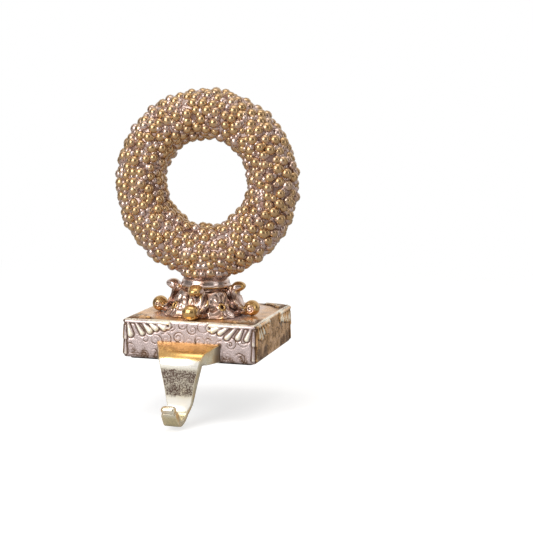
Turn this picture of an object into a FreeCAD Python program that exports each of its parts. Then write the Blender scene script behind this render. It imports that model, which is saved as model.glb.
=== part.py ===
import FreeCAD, Part
import math
import os
import Sketcher

# Mantel stocking holder: a square ornamental plinth that stands on the mantel edge,
# a scrolled pedestal, a wreath of berries, and a cast hook that hangs in front.
# Millimetres, +Z up, front towards -Y. The origin is the middle of the pad's underside.

Vector = FreeCAD.Vector

SIZES = {
    # plinth and the pad glued under it
    "plinth_width": 102.0,
    "plinth_depth": 102.0,
    "plinth_height": 28.9,
    "plinth_edge": 2.0,
    "pad_thickness": 1.2,
    "pad_inset": 4.0,
    "pad_corner": 3.0,
    "seat_clearance": 0.2,
    # leaf fingers that clasp the plinth's corners
    "finger_length": 9.4,
    "finger_root": 1.3,
    "finger_tip": 2.1,
    "finger_pitch": 5.0,
    "finger_sink": 0.7,
    "corner_finger_length": 13.0,
    "top_finger_length": 12.5,
    "band_length": 33.0,
    "band_tip": 1.7,
    "curl_radius": 1.9,
    "curl_wire": 0.9,
    # pedestal, measured up from the plinth's top
    "pedestal_forward": 10.2,
    "pedestal_height": 27.6,
    "pedestal_foot_radius": 27.0,
    "waist_radius": 18.5,
    "waist_height": 15.0,
    "drum_radius": 18.0,
    "collar_radius": 19.4,
    "collar_height": 21.6,
    "collar_thickness": 2.6,
    "tenon_radius": 9.0,
    "tenon_length": 8.0,
    # scroll arms of the pedestal
    "arm_count": 4,
    "foot_roll_reach": 36.2,
    "foot_roll_radius": 5.9,
    "foot_roll_width": 12.9,
    "top_roll_reach": 25.4,
    "top_roll_radius": 4.7,
    "top_roll_width": 12.4,
    "top_roll_height": 20.9,
    "foot_roll_edge": 3.6,
    "top_roll_edge": 2.9,
    "roll_turns": 1.75,
    "roll_groove": 0.45,
    "arm_neck_reach": 21.0,
    "arm_neck_height": 18.6,
    "arm_waist_reach": 24.0,
    "arm_waist_height": 10.5,
    "arm_waist_width": 21.0,
    "arm_heel_reach": 27.6,
    "arm_heel_height": 4.6,
    "arm_thickness": 6.2,
    "rib_depth": 0.75,
    # leaf drapes between the arms
    "drape_reach": 33.0,
    "drape_height": 18.6,
    "drape_flutes": 5,
    "flute_depth": 1.3,
    "eyelet_reach": 25.9,
    "eyelet_height": 8.2,
    "eyelet_radius": 2.3,
    "eyelet_wire": 0.9,
    # wreath
    "wreath_centre_height": 129.5,
    "ring_radius": 51.3,
    "groove_radius": 15.7,
    "berry_rise": 3.7,
    "outer_columns": 50,
    "inner_columns": 35,
    "stub_radius": 16.5,
    "spigot_radius": 7.0,
    "spigot_length": 9.0,
    # hook
    "tang_width": 40.0,
    "tang_length": 34.0,
    "tang_thickness": 6.0,
    "root_height": 13.6,
    "root_width": 48.4,
    "tongue_length": 12.6,
    "tongue_droop": 8.6,
    "tongue_height": 10.2,
    "tongue_width": 36.6,
    "bend_radius": 5.5,
    "bend_thickness": 9.9,
    "bend_width": 29.2,
    "strap_lean": 3.0,
    "strap_length": 15.5,
    "strap_thickness": 8.7,
    "strap_width": 22.4,
    "taper_radius": 80.0,
    "taper_angle": 8.0,
    "taper_thickness": 5.0,
    "taper_width": 19.2,
    "sweep_radius": 14.5,
    "sweep_angle": 30.0,
    "sweep_thickness": 3.5,
    "sweep_width": 14.6,
    "seat_radius": 14.5,
    "seat_angle": 44.0,
    "seat_thickness": 4.7,
    "seat_width": 12.6,
    "turnup_radius": 5.2,
    "turnup_angle": 58.0,
    "turnup_thickness": 5.3,
    "lip_width": 12.0,
    "lip_thickness": 4.2,
    "lip_length": 9.8,
    "lip_roll_radius": 2.9,
    "lip_roll_forward": 0.8,
    "hook_corner": 1.0,
    "station_step": 2.6,
    # screws that hold the tang
    "screw_spacing": 22.0,
    "screw_setback": 20.0,
    "screw_radius": 2.0,
    "screw_length": 18.0,
    "screw_head_radius": 3.8,
    "screw_clearance": 0.1,
}

doc = FreeCAD.newDocument("stocking_holder")
sheet = doc.addObject("Spreadsheet::Sheet", "sizes")
for row, (name, value) in enumerate(SIZES.items(), start=1):
    sheet.set(f"A{row}", name)
    sheet.set(f"B{row}", str(value))
    sheet.setAlias(f"B{row}", name)
doc.recompute()


def size(name):
    return float(sheet.get(name))


def bound(feature, prop, formula):
    feature.setExpression(prop, formula)
    return feature


def shaped(label, shape):
    feature = doc.addObject("Part::Feature", label)
    feature.Label = label
    feature.Shape = shape
    return feature


def new_body(label):
    body = doc.addObject("PartDesign::Body", label)
    body.Label = label
    return body


def new_sketch(body, name, role="XY_Plane"):
    sketch = body.newObject("Sketcher::SketchObject", name)
    planes = body.Origin.OriginFeatures
    sketch.AttachmentSupport = [(next(p for p in planes if p.Role == role), "")]
    sketch.MapMode = "FlatFace"
    return sketch


def constrain(sketch, constraint, formula):
    index = sketch.addConstraint(constraint)
    sketch.setExpression(f"Constraints[{index}]", formula)


def rectangle(sketch, width, depth, middle_y=None):
    # a rectangle centred in x; middle_y is the formula of its centre, else the origin
    x, y = 10.0, 10.0
    corners = [Vector(-x, -y, 0), Vector(x, -y, 0), Vector(x, y, 0), Vector(-x, y, 0)]
    for k in range(4):
        sketch.addGeometry(Part.LineSegment(corners[k], corners[(k + 1) % 4]), False)
    for k in range(4):
        sketch.addConstraint(Sketcher.Constraint("Coincident", k, 2, (k + 1) % 4, 1))
    for k in (0, 2):
        sketch.addConstraint(Sketcher.Constraint("Horizontal", k))
        sketch.addConstraint(Sketcher.Constraint("Vertical", k + 1))
    constrain(sketch, Sketcher.Constraint("DistanceX", 0, 1, 0, 2, 2 * x), width)
    constrain(sketch, Sketcher.Constraint("DistanceY", 1, 1, 1, 2, 2 * y), depth)
    constrain(sketch, Sketcher.Constraint("DistanceX", 0, 1, -1, 1, x), f"({width}) / 2")
    below = f"({depth}) / 2" if middle_y is None else f"({depth}) / 2 - ({middle_y})"
    constrain(sketch, Sketcher.Constraint("DistanceY", 0, 1, -1, 1, y), below)


def circle(sketch, radius, x_formula, y_formula):
    sketch.addGeometry(Part.Circle(Vector(4, 4, 0), Vector(0, 0, 1), 3.0), False)
    index = sketch.GeometryCount - 1
    constrain(sketch, Sketcher.Constraint("Radius", index, 3.0), radius)
    constrain(sketch, Sketcher.Constraint("DistanceX", -1, 1, index, 3, 4.0), x_formula)
    constrain(sketch, Sketcher.Constraint("DistanceY", -1, 1, index, 3, 4.0), y_formula)


def pocket_upward(body, sketch, name, length):
    pocket = body.newObject("PartDesign::Pocket", name)
    pocket.Profile = sketch
    pocket.Reversed = True
    bound(pocket, "Length", length)
    doc.recompute()
    return pocket


# Plinth

def leaf_finger(length, tip):
    # a drop lying along +X from its narrow root at the origin, round about its own axis
    root = size("finger_root")
    lean = math.asin((tip - root) / (length - root - tip))
    near = Vector(root, 0, 0)
    far = Vector(length - tip, 0, 0)

    def on_ball(centre, radius, angle):
        return centre + Vector(-radius * math.cos(angle), radius * math.sin(angle), 0)

    start = near - Vector(root, 0, 0)
    touch_near = on_ball(near, root, math.pi / 2 - lean)
    touch_far = on_ball(far, tip, math.pi / 2 - lean)
    end = far + Vector(tip, 0, 0)
    edges = [
        Part.Arc(start, on_ball(near, root, math.pi / 4), touch_near).toShape(),
        Part.LineSegment(touch_near, touch_far).toShape(),
        Part.Arc(touch_far, on_ball(far, tip, 3 * math.pi / 4), end).toShape(),
        Part.LineSegment(end, start).toShape(),
    ]
    return Part.Face(Part.Wire(edges)).revolve(Vector(), Vector(1, 0, 0), 360)


def laid(finger, heading, along, drop, reach):
    # lays a finger on the side face in the plane y = 0; heading is measured up from +X
    finger.rotate(Vector(), Vector(0, 0, 1), heading)
    finger.rotate(Vector(), Vector(1, 0, 0), 90)
    level = size("plinth_height") - size("plinth_edge") - drop
    finger.translate(Vector(along, size("finger_sink") - reach, level))
    return finger


def face_leaves(reach):
    # two mirrored leaves on the upper corners of one side face: a band along the edge that ends
    # in a curl, short fingers that hang from it, and long fingers down the upright edge
    tip, pitch, band = size("finger_tip"), size("finger_pitch"), size("band_length")
    half = size("plinth_width") / 2 - size("plinth_edge")
    leaves = []
    for side in (-1, 1):
        inward = 180 if side > 0 else 0
        leaves.append(laid(leaf_finger(band, size("band_tip")), inward, side * half, 0, reach))
        curl = Part.makeTorus(size("curl_radius"), size("curl_wire"))
        leaves.append(laid(curl, 0, side * (half - band), size("curl_radius"), reach))
        for k, droop in enumerate((76, 66, 56, 46, 34)):
            finger = leaf_finger(size("finger_length") * (1 - 0.05 * abs(k - 1)), tip)
            heading = 180 + droop if side > 0 else -droop
            leaves.append(laid(finger, heading, side * (half - pitch * (k + 0.4)), 0, reach))
        for k in range(2):
            length = size("corner_finger_length")
            drop = 2 + k * (length - 2)
            leaves.append(laid(leaf_finger(length, tip), -90, side * half, drop, reach))
    return leaves


def top_leaves():
    # fingers that fan out over the top face from its corner at +X, -Y
    inset = 2 * size("plinth_edge")
    level = size("plinth_height") - size("finger_sink")
    corner = Vector(size("plinth_width") / 2 - inset, inset - size("plinth_depth") / 2, level)
    fan = []
    for k, heading in enumerate((100, 122, 148, 170)):
        length = size("top_finger_length") * (1.0 if k in (1, 2) else 1.3)
        finger = leaf_finger(length, size("finger_tip")).rotate(Vector(), Vector(0, 0, 1), heading)
        fan.append(finger.translate(corner))
    return fan


def make_plinth():
    block = new_body("plinth_block")
    outline = new_sketch(block, "plinth_outline")
    rectangle(outline, "sizes.plinth_width", "sizes.plinth_depth")
    pad = block.newObject("PartDesign::Pad", "plinth_pad")
    pad.Profile = outline
    bound(pad, "Length", "sizes.plinth_height")
    doc.recompute()
    rounding = block.newObject("PartDesign::Fillet", "plinth_rounding")
    edges = [f"Edge{k + 1}" for k in range(len(pad.Shape.Edges))]
    rounding.Base = (pad, edges)
    bound(rounding, "Radius", "sizes.plinth_edge")
    doc.recompute()

    slot = new_sketch(block, "tang_slot_outline")
    reach = "sizes.plinth_depth / 2 + 1"
    run = "sizes.tang_length + sizes.seat_clearance + 1"
    rectangle(slot, "sizes.tang_width + 2 * sizes.seat_clearance", run, f"-({reach}) + ({run}) / 2")
    pocket_upward(block, slot, "tang_slot", "sizes.tang_thickness + sizes.seat_clearance")

    holes = new_sketch(block, "screw_hole_outline")
    for side in ("-", ""):
        circle(holes, "sizes.screw_radius + sizes.screw_clearance", f"{side}sizes.screw_spacing / 2",
               "sizes.screw_setback - sizes.plinth_depth / 2")
    pocket_upward(block, holes, "screw_holes", "sizes.screw_length + 1")

    socket = new_sketch(block, "pedestal_socket_outline")
    socket.AttachmentOffset = FreeCAD.Placement(Vector(0, 0, size("plinth_height")), FreeCAD.Rotation())
    bound(socket, "AttachmentOffset.Base.z", "sizes.plinth_height")
    circle(socket, "sizes.tenon_radius + sizes.seat_clearance", "0", "-sizes.pedestal_forward")
    pocket = block.newObject("PartDesign::Pocket", "pedestal_socket")
    pocket.Profile = socket
    bound(pocket, "Length", "sizes.tenon_length + sizes.seat_clearance")
    doc.recompute()

    fingers = []
    for quarter in range(4):
        reach = size("plinth_depth" if quarter % 2 == 0 else "plinth_width") / 2
        for finger in face_leaves(reach) + top_leaves():
            fingers.append(finger.rotate(Vector(), Vector(0, 0, 1), 90 * quarter))
    leaves = shaped("corner_leaves", Part.makeCompound(fingers))
    plinth = shaped("plinth", block.Shape.multiFuse(leaves.Shape.Solids).removeSplitter())
    bound(plinth, "Placement.Base.z", "sizes.pad_thickness")
    return plinth


# Felt pad

def make_pad():
    pad_body = new_body("felt_pad")
    outline = new_sketch(pad_body, "felt_outline")
    inset = "2 * sizes.pad_inset"
    rectangle(outline, f"sizes.plinth_width - {inset}", f"sizes.plinth_depth - {inset}")
    pad = pad_body.newObject("PartDesign::Pad", "felt_sheet")
    pad.Profile = outline
    bound(pad, "Length", "sizes.pad_thickness")
    doc.recompute()
    corners = pad_body.newObject("PartDesign::Fillet", "felt_corners")
    upright = [
        f"Edge{k + 1}"
        for k, edge in enumerate(pad.Shape.Edges)
        if abs(edge.Vertexes[0].Z - edge.Vertexes[-1].Z) > size("pad_thickness") / 2
    ]
    corners.Base = (pad, upright)
    bound(corners, "Radius", "sizes.pad_corner")
    doc.recompute()
    return pad_body


# Pedestal, made about its own axis with z = 0 on the plinth's top

def pedestal_core():
    waist, high = size("waist_radius"), size("waist_height")
    foot, drum = size("pedestal_foot_radius"), size("drum_radius")
    collar, level = size("collar_radius"), size("collar_height")
    half = size("collar_thickness") / 2
    top = size("pedestal_height")
    tenon, deep = size("tenon_radius"), size("tenon_length")
    spigot = size("spigot_radius") + size("seat_clearance")
    socket = top - size("spigot_length") - size("seat_clearance")
    flank = Part.BSplineCurve()
    flank.interpolate([
        Vector(foot, 0, 0), Vector(foot - 0.45 * (foot - waist), 0, 0.3 * high),
        Vector(waist, 0, high), Vector(drum - 1, 0, level - half),
    ])
    corners = [
        Vector(drum - 1, 0, level - half), Vector(collar - half, 0, level - half),
        Vector(collar - half, 0, level + half), Vector(drum, 0, level + half), Vector(drum, 0, top),
        Vector(spigot, 0, top), Vector(spigot, 0, socket), Vector(0, 0, socket),
        Vector(0, 0, -deep), Vector(tenon, 0, -deep), Vector(tenon, 0, 0), Vector(foot, 0, 0),
    ]
    edges = [flank.toShape()]
    for k in range(len(corners) - 1):
        if k == 1:
            rim = Vector(collar, 0, level)
            edges.append(Part.Arc(corners[k], rim, corners[k + 1]).toShape())
        else:
            edges.append(Part.LineSegment(corners[k], corners[k + 1]).toShape())
    return Part.Face(Part.Wire(Part.__sortEdges__(edges))).revolve(Vector(), Vector(0, 0, 1), 360)


def leaf_drapes():
    # a skirt of folded leaves, one between each two arms, that narrows up to the waist
    foot, reach, leaves = size("waist_radius"), size("drape_reach"), int(size("arm_count"))
    # share of the height, and how far the skirt spreads there
    levels = ((0.0, 0.94), (0.06, 1.0), (0.16, 0.8), (0.35, 0.55), (0.65, 0.36), (1.0, 0.1))
    points = 2 * leaves * int(size("drape_flutes"))
    rings = []
    for level, spread in levels:
        ring = []
        for k in range(points):
            angle = math.tau * (k + 0.5) / points
            lobe = 0.5 - 0.5 * math.cos(leaves * angle)
            fold = size("flute_depth") if k % 2 == 0 else -size("flute_depth")
            radius = foot + (reach - foot) * spread * (0.62 + 0.38 * lobe)
            radius += fold * math.sqrt(spread) * (0.4 + 0.6 * lobe)
            height = level * size("drape_height")
            ring.append(Vector(radius * math.cos(angle), radius * math.sin(angle), height))
        rings.append(Part.makePolygon(ring + [ring[0]]))
    return Part.makeLoft(rings, True, True)


def eyelet():
    # the small ring that a leaf curls into, leaning back against the drape between two arms
    ring = Part.makeTorus(size("eyelet_radius"), size("eyelet_wire"))
    ring.rotate(Vector(), Vector(0, 1, 0), 62)
    return ring.translate(Vector(size("eyelet_reach"), 0, size("eyelet_height")))


def leaf_section(middle, out, width, thickness):
    # across the arm: folded on the outer side, plain on the inner side
    across = Vector(0, 1, 0)
    folds, plain = 8, 4
    ring = []
    for k in range(folds + 1):
        share = 1 - 2 * k / folds
        lift = 0.5 * thickness * math.sqrt(1 - 0.8 * share * share)
        lift += size("rib_depth") * (1 if k % 2 == 0 else -1)
        ring.append(middle + across * (0.5 * width * share) + out * lift)
    for k in range(1, plain):
        share = 2 * k / plain - 1
        lift = -0.5 * thickness * math.sqrt(1 - share * share)
        ring.append(middle + across * (0.5 * width * share) + out * lift)
    return Part.makePolygon(ring + [ring[0]])


def spiral_groove(radius, end):
    # the turn of a rolled leaf, cut into one end of a roll whose axis is the y axis
    turns, steps = size("roll_turns"), 20
    points = []
    for k in range(steps + 1):
        angle = math.tau * turns * k / steps
        distance = 0.52 * radius * (1 - 0.8 * k / steps)
        points.append(Vector(distance * math.cos(angle), end, distance * math.sin(angle)))
    line = Part.BSplineCurve()
    line.interpolate(points)
    heading = line.tangent(line.FirstParameter)[0]
    cutter = Part.Wire(Part.makeCircle(size("roll_groove"), points[0], heading))
    return Part.Wire(line.toShape()).makePipeShell([cutter], True, True)


def roll(reach, height, radius, width, edge):
    drum = Part.makeCylinder(radius, width, Vector(0, -width / 2, 0), Vector(0, 1, 0))
    rims = [rim for rim in drum.Edges if isinstance(rim.Curve, Part.Circle)]
    drum = drum.makeFillet(edge, rims)
    for side in (-1, 1):
        drum = drum.cut(spiral_groove(radius, side * width / 2))
    return drum.Solids[0].translate(Vector(reach, 0, height))


def scroll_arm():
    # one leaf that rolls outward at its top and at its foot
    foot_reach, foot_radius = size("foot_roll_reach"), size("foot_roll_radius")
    top_reach, top_radius = size("top_roll_reach"), size("top_roll_radius")
    top_height = size("top_roll_height")
    thick, wide = size("arm_thickness"), size("arm_waist_width")
    top_wide, foot_wide = size("top_roll_width"), size("foot_roll_width")
    # reach, height, width, thickness, from the top down to the foot
    places = [
        (top_reach, top_height + 0.45 * top_radius, top_wide - 1, 0.8 * thick),
        (size("arm_neck_reach"), size("arm_neck_height"), top_wide + 3, 0.9 * thick),
        (size("arm_waist_reach"), size("arm_waist_height"), wide, thick),
        (size("arm_heel_reach"), size("arm_heel_height"), wide - 2, 0.9 * thick),
        (foot_reach, 0.5 * foot_radius, foot_wide - 1, 0.7 * thick),
    ]
    path = Part.BSplineCurve()
    path.interpolate([Vector(reach, 0, height) for reach, height, _, _ in places])
    marks = [path.parameter(Vector(reach, 0, height)) for reach, height, _, _ in places]
    sections = []
    for k in range(len(places) - 1):
        steps = 3
        for step in range(steps + (k == len(places) - 2)):
            share = step / steps
            mark = marks[k] + (marks[k + 1] - marks[k]) * share
            width, thickness = (
                places[k][column] + (places[k + 1][column] - places[k][column]) * share for column in (2, 3)
            )
            heading = path.tangent(mark)[0]
            out = Vector(-heading.z, 0, heading.x)
            sections.append(leaf_section(path.value(mark), out, width, thickness))
    leaf = Part.makeLoft(sections, True, True)
    foot_roll = roll(foot_reach, foot_radius, foot_radius, foot_wide, size("foot_roll_edge"))
    top_roll = roll(top_reach, top_height, top_radius, top_wide, size("top_roll_edge"))
    under = Vector(-foot_reach, -2 * foot_reach, -foot_radius)
    below = Part.makeBox(4 * foot_reach, 4 * foot_reach, foot_radius, under)
    return leaf.multiFuse([foot_roll, top_roll]).cut(below)


def make_pedestal():
    pieces = [leaf_drapes()]
    arm, ring = scroll_arm(), eyelet()
    pitch = 360.0 / size("arm_count")
    for k in range(int(size("arm_count"))):
        pieces.append(arm.rotated(Vector(), Vector(0, 0, 1), k * pitch))
        pieces.append(ring.rotated(Vector(), Vector(0, 0, 1), (k + 0.5) * pitch))
    pedestal = shaped("scroll_pedestal", pedestal_core().multiFuse(pieces))
    bound(pedestal, "Placement.Base.y", "-sizes.pedestal_forward")
    bound(pedestal, "Placement.Base.z", "sizes.pad_thickness + sizes.plinth_height")
    return pedestal


# Wreath: berries in rows round the ring's tube, each a faceted dome in a six-cornered cell.
# Rows on the outer side have more berries than rows on the inner side, and a plain strip
# of triangles joins the two where they meet.

ROWS_OUTSIDE = 8
ROWS_INSIDE = 7
ROW_STEP = math.tau / (ROWS_OUTSIDE + ROWS_INSIDE)


def scatter(*keys):
    # a repeatable value from -0.5 to 0.5
    total = math.sin(sum(key * weight for key, weight in zip(keys, (12.9898, 78.233, 39.425, 27.17))))
    return total * 43758.5453 - math.floor(total * 43758.5453) - 0.5


def on_ring(around, across, tube):
    # around the ring from its top, and across its tube from the outer side
    out = size("ring_radius") + tube * math.cos(across)
    return Vector(out * math.sin(around), -tube * math.sin(across), out * math.cos(around))


def groove_line(zone, line, columns, across, zigzag):
    step = math.tau / columns
    points = []
    for k in range(2 * columns):
        side = -1 if (k + line) % 2 == 0 else 1
        around = k * step / 2 + 0.16 * step * scatter(zone, line, k, 1)
        over = across + zigzag * side * ROW_STEP / 6 + 0.12 * ROW_STEP * scatter(zone, line, k, 2)
        points.append((around, over))
    return points


def wrapped(points, k):
    around, across = points[k % len(points)]
    return around + math.tau * (k // len(points)), across


def berry(cell, middle):
    # side facets up from the groove to a shoulder, then facets that close on the crown
    around, across, rise = middle
    groove = size("groove_radius")
    foot = [on_ring(u, v, groove) for u, v in cell]
    shoulder = [
        on_ring(around + 0.66 * (u - around), across + 0.66 * (v - across), groove + 0.76 * rise)
        for u, v in cell
    ]
    crown = on_ring(around, across, groove + rise)
    facets = []
    for k in range(len(cell)):
        n = (k + 1) % len(cell)
        facets.append((foot[k], foot[n], shoulder[n]))
        facets.append((foot[k], shoulder[n], shoulder[k]))
        facets.append((shoulder[k], shoulder[n], crown))
    return facets


def berry_rows(zone, first, rows, columns):
    lines = []
    for line in range(rows + 1):
        inward = 0.09 * ROW_STEP * ((line == 0) - (line == rows))
        across = first + (line - 0.5) * ROW_STEP + inward
        lines.append(groove_line(zone, line, columns, across, 0.0 if inward else 1.0))
    facets = []
    step = math.tau / columns
    for row in range(rows):
        for column in range(columns):
            k = 2 * column + row % 2
            low, high = lines[row], lines[row + 1]
            cell = [wrapped(low, k + d) for d in (-1, 0, 1)] + [wrapped(high, k + d) for d in (1, 0, -1)]
            middle = (
                k * step / 2 + 0.1 * step * scatter(zone, row, column, 5),
                first + row * ROW_STEP + 0.1 * ROW_STEP * scatter(zone, row, column, 6),
                size("berry_rise") * (1 + 0.25 * scatter(zone, row, column, 7)),
            )
            facets += berry(cell, middle)
    return facets, lines[0], lines[-1]


def joining_strip(one, other, turn):
    # triangles between two closed groove lines with different numbers of points
    groove = size("groove_radius")
    facets = []
    i = j = 0
    while i < len(one) or j < len(other):
        ahead_one, ahead_other = wrapped(one, i + 1), wrapped(other, j + 1)
        a, b = wrapped(one, i), wrapped(other, j)
        if j >= len(other) or (i < len(one) and ahead_one[0] <= ahead_other[0]):
            corners = (a, ahead_one, (b[0], b[1] + turn))
            i += 1
        else:
            corners = (a, (ahead_other[0], ahead_other[1] + turn), (b[0], b[1] + turn))
            j += 1
        facets.append(tuple(on_ring(u, v, groove) for u, v in corners))
    return facets


def beaded_ring():
    start_out, start_in = -0.5 * (ROWS_OUTSIDE - 1) * ROW_STEP, 0.5 * (ROWS_OUTSIDE + 1) * ROW_STEP
    outside, first_out, last_out = berry_rows(1, start_out, ROWS_OUTSIDE, int(size("outer_columns")))
    inside, first_in, last_in = berry_rows(2, start_in, ROWS_INSIDE, int(size("inner_columns")))
    facets = outside + inside
    facets += joining_strip(last_out, first_in, 0.0)
    facets += joining_strip(last_in, first_out, math.tau)
    faces = [Part.Face(Part.makePolygon([a, b, c, a])) for a, b, c in facets]
    ring = Part.Solid(Part.makeShell(faces))
    if ring.Volume < 0:
        ring.reverse()
    return ring


def make_wreath():
    drum_top = size("pad_thickness") + size("plinth_height") + size("pedestal_height")
    seat = drum_top - size("wreath_centre_height")
    bury = -size("ring_radius")
    stub = Part.makeCylinder(size("stub_radius"), bury - seat, Vector(0, 0, seat))
    foot = Vector(0, 0, seat - size("spigot_length"))
    spigot = Part.makeCylinder(size("spigot_radius"), size("spigot_length") + 1, foot)
    wreath = shaped("wreath", beaded_ring().multiFuse([stub, spigot]))
    bound(wreath, "Placement.Base.y", "-sizes.pedestal_forward")
    bound(wreath, "Placement.Base.z", "sizes.wreath_centre_height")
    return wreath


# Hook: a strap whose section changes along a path of straight runs and tangent arcs

def strap_section(point, heading, thickness, width):
    # a rectangle with its corners taken off, square to the path; the path lies in the plane x = 0
    corner = min(size("hook_corner"), 0.3 * thickness)
    across = Vector(1, 0, 0)
    out = Vector(0, math.sin(heading), math.cos(heading))
    marks = []
    for side, face in ((1, 1), (-1, 1), (-1, -1), (1, -1)):
        on_side = point + across * (side * width / 2) + out * (face * (thickness / 2 - corner))
        on_face = point + across * (side * (width / 2 - corner)) + out * (face * thickness / 2)
        marks += [on_side, on_face] if side * face > 0 else [on_face, on_side]
    return Part.makePolygon(marks + [marks[0]])


def hook_path():
    # legs of the centreline: straight length or arc radius, turn in degrees, section at its end
    bend = size("tongue_droop") - (90 - size("strap_lean"))
    legs = [
        ("run", size("tongue_length"), 0, size("tongue_height"), size("tongue_width")),
        ("arc", size("bend_radius"), bend, size("bend_thickness"), size("bend_width")),
        ("run", size("strap_length"), 0, size("strap_thickness"), size("strap_width")),
    ]
    for name, wide in (("taper", "taper"), ("sweep", "sweep"), ("seat", "seat"), ("turnup", "lip")):
        section = size(f"{name}_thickness"), size(f"{wide}_width")
        legs.append(("arc", size(f"{name}_radius"), size(f"{name}_angle"), *section))
    legs.append(("run", size("lip_length"), 0, size("lip_thickness"), size("lip_width")))
    return legs


def hook_sections():
    # headings are measured in the plane x = 0 from -Y, positive upward
    point = Vector(0, -size("plinth_depth") / 2, size("root_height") / 2)
    thickness, width = size("root_height"), size("root_width")
    heading = 0.0
    sections = [strap_section(point, heading, thickness, width)]
    heading = -math.radians(size("tongue_droop"))
    for kind, length, turn, end_thickness, end_width in hook_path():
        run = length if kind == "run" else length * abs(math.radians(turn))
        pieces = max(1, round(run / size("station_step")))
        for k in range(pieces):
            share = (k + 1) / pieces
            if kind == "run":
                point = point + Vector(0, -math.cos(heading), math.sin(heading)) * (length / pieces)
            else:
                step = math.radians(turn) / pieces
                chord = 2 * length * math.sin(abs(step) / 2)
                middle = heading + step / 2
                point = point + Vector(0, -math.cos(middle), math.sin(middle)) * chord
                heading += step
            now_thick = thickness + (end_thickness - thickness) * share
            now_wide = width + (end_width - width) * share
            sections.append(strap_section(point, heading, now_thick, now_wide))
        thickness, width = end_thickness, end_width
    return sections, point


def make_hook():
    sections, tip = hook_sections()
    strap = Part.makeLoft(sections, True, True)
    front = -size("plinth_depth") / 2
    corner = Vector(-size("tang_width") / 2, front, 0)
    tang = Part.makeBox(size("tang_width"), size("tang_length"), size("tang_thickness"), corner)
    width = size("lip_width")
    roll_end = tip - Vector(width / 2, size("lip_roll_forward"), 0)
    lip_roll = Part.makeCylinder(size("lip_roll_radius"), width, roll_end, Vector(1, 0, 0))
    rims = [edge for edge in lip_roll.Edges if isinstance(edge.Curve, Part.Circle)]
    lip_roll = lip_roll.makeFillet(size("hook_corner"), rims)
    body = strap.multiFuse([tang, lip_roll])
    for screw in screw_places():
        body = body.cut(screw_shape(size("screw_clearance")).translate(screw))
    hook = shaped("hook", body)
    bound(hook, "Placement.Base.z", "sizes.pad_thickness")
    return hook


# Screws: countersunk heads flush with the tang's underside

def screw_places():
    back = size("screw_setback") - size("plinth_depth") / 2
    return [Vector(side * size("screw_spacing") / 2, back, 0) for side in (-1, 1)]


def screw_shape(grow=0.0):
    head, shank = size("screw_head_radius") + grow, size("screw_radius") + grow
    cone = head - shank
    length = size("screw_length") + grow
    point = shank
    outline = [
        Vector(0, 0, 0), Vector(head, 0, 0), Vector(shank, 0, cone),
        Vector(shank, 0, length - point), Vector(0.2, 0, length), Vector(0, 0, length),
    ]
    return Part.Face(Part.makePolygon(outline + [outline[0]])).revolve(Vector(), Vector(0, 0, 1), 360)


def make_screws():
    pair = [screw_shape().translate(place) for place in screw_places()]
    screws = shaped("hook_screws", Part.makeCompound(pair))
    bound(screws, "Placement.Base.z", "sizes.pad_thickness")
    return screws


subparts = [make_plinth(), make_pad(), make_pedestal(), make_wreath(), make_hook(), make_screws()]
doc.recompute()

for item in doc.Objects:
    if "Invalid" in item.State or "Error" in item.State:
        raise RuntimeError(f"{item.Label} failed: {item.State}")
for part in subparts:
    if part.Shape.isNull() or not part.Shape.isValid():
        raise RuntimeError(f"{part.Label} has no valid shape")

os.makedirs("parts", exist_ok=True)
for part in subparts:
    part.Shape.exportStep(f"parts/{part.Label}.step")
    print(part.Label, len(part.Shape.Solids), "solids", round(part.Shape.Volume), "mm3", part.Shape.BoundBox)
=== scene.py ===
import math
import random

import bmesh
import bpy
import numpy as np
from mathutils import Matrix, Vector, noise


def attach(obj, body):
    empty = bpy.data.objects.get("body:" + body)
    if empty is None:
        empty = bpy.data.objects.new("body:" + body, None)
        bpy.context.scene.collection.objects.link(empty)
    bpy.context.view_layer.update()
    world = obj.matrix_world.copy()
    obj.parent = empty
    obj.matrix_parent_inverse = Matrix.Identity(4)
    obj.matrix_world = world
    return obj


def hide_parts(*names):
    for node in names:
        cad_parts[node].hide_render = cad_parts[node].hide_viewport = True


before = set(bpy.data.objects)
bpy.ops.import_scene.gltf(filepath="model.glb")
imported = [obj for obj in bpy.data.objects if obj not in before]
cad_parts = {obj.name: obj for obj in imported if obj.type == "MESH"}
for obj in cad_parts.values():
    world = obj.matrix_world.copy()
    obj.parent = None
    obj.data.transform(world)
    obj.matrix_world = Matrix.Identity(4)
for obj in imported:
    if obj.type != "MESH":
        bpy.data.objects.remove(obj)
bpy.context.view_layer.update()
scene = bpy.context.scene
mm = 0.001
print("frame loaded")


# camera, from the photograph's own angle
camera = {
    "place": (0.3021, -0.9558, 0.1941),
    "forward": (-0.2582, 0.9576, -0.1281),
    "up": (-0.0431, 0.121, 0.9917),
    "lens": 89.8,
    "sensor": 36.0,
    "clip": (0.01, 20),
}


def newObject(name, data):
    made = bpy.data.objects.new(name, data)
    scene.collection.objects.link(made)
    return made


def addCamera():
    data = bpy.data.cameras.new("camera")
    data.lens = camera["lens"]
    data.sensor_width = camera["sensor"]
    data.clip_start, data.clip_end = camera["clip"]
    eye = newObject("camera", data)
    forward = Vector(camera["forward"]).normalized()
    right = forward.cross(Vector(camera["up"])).normalized()
    up = right.cross(forward)
    turn = Matrix((right, up, -forward)).transposed().to_4x4()
    eye.matrix_world = Matrix.Translation(camera["place"]) @ turn
    scene.camera = eye


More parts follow.
